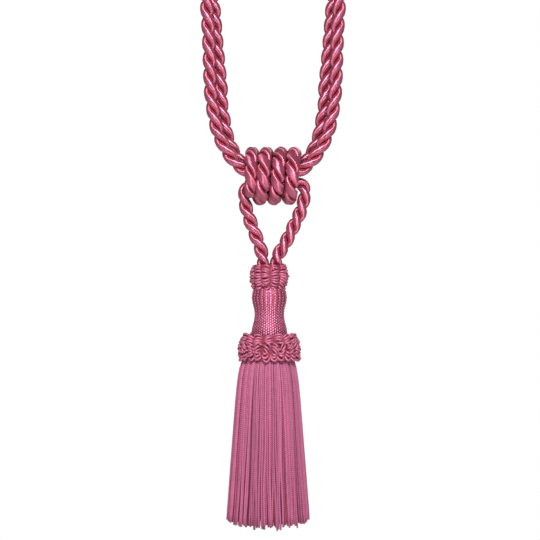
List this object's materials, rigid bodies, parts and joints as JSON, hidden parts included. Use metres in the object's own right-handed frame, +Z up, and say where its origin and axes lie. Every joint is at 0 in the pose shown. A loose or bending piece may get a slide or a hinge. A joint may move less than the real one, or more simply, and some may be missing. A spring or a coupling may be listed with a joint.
{
  "type": "curtain tieback",
  "caption": "Tassel tieback for a curtain: a doubled twisted-cord embrace with hook eyes, bound in a wound knot, and a cut tassel with a covered head hanging on a cord loop.",
  "frame": {"origin": "midway between the two hook eyes, at the height where they bear on their hook", "axes": "+Z up along the hanging tassel, front faces -Y, the two sides of the embrace lie along X"},
  "size_m": [0.1172, 0.0508, 0.3719],
  "materials": {
    "satin_cord": "rose-pink satin viscose, twisted",
    "gimp_ruff": "curled loops of fine satin gimp",
    "head_cover": "upright rows of satin stitches over a wooden mould",
    "skirt_thread": "soft, nearly matt twisted threads"
  },
  "bodies": {
    "root": {"embrace_cord_left": "satin_cord", "embrace_cord_right": "satin_cord", "hanger_cord": "satin_cord", "binding_cord": "satin_cord", "neck_ruff": "gimp_ruff", "tassel_head": "head_cover", "skirt_ruff": "gimp_ruff", "skirt": "skirt_thread"}
  },
  "joints": []
}
